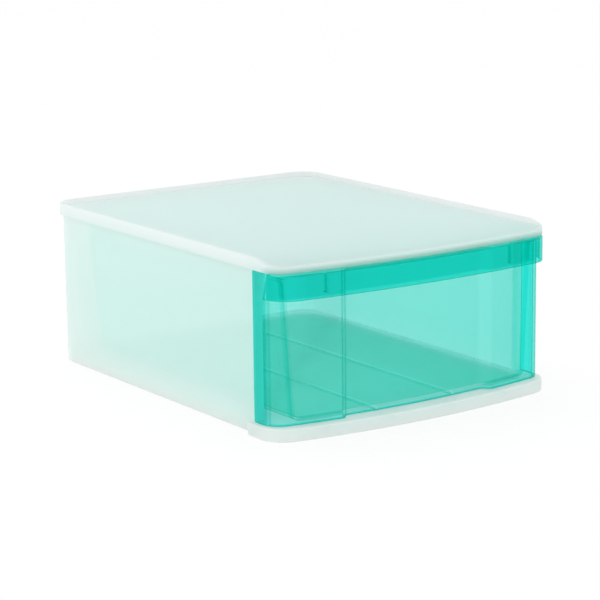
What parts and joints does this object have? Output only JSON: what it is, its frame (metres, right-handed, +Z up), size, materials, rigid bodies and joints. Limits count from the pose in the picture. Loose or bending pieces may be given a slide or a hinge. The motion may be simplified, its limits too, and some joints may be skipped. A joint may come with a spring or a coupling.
{
  "type": "stackable drawer box",
  "caption": "Stackable organizer box: frosted case on a base with a front ledge, separate top cover with a stacking rim, and a see-through pull-out drawer with a scooped front and lip.",
  "frame": {"origin": "middle of the footprint, on the surface the box stands on", "axes": "+Z up, +Y to the back, the drawer opens towards -Y, +X to the right seen from the front"},
  "size_m": [0.284, 0.368, 0.145],
  "materials": {
    "frosted_cover": "frosted",
    "frosted_wall": "frosted",
    "frosted_base": "frosted",
    "aqua_clear": "see-through gloss"
  },
  "bodies": {
    "housing": {"top_cover": "frosted_cover", "case_wall": "frosted_wall", "base": "frosted_base"},
    "drawer": {"drawer": "aqua_clear"}
  },
  "joints": [
    {"name": "drawer_slide", "type": "slide", "parent": "housing", "child": "drawer", "axis": [0, -1, 0], "range_m": [0, 0.23]}
  ]
}
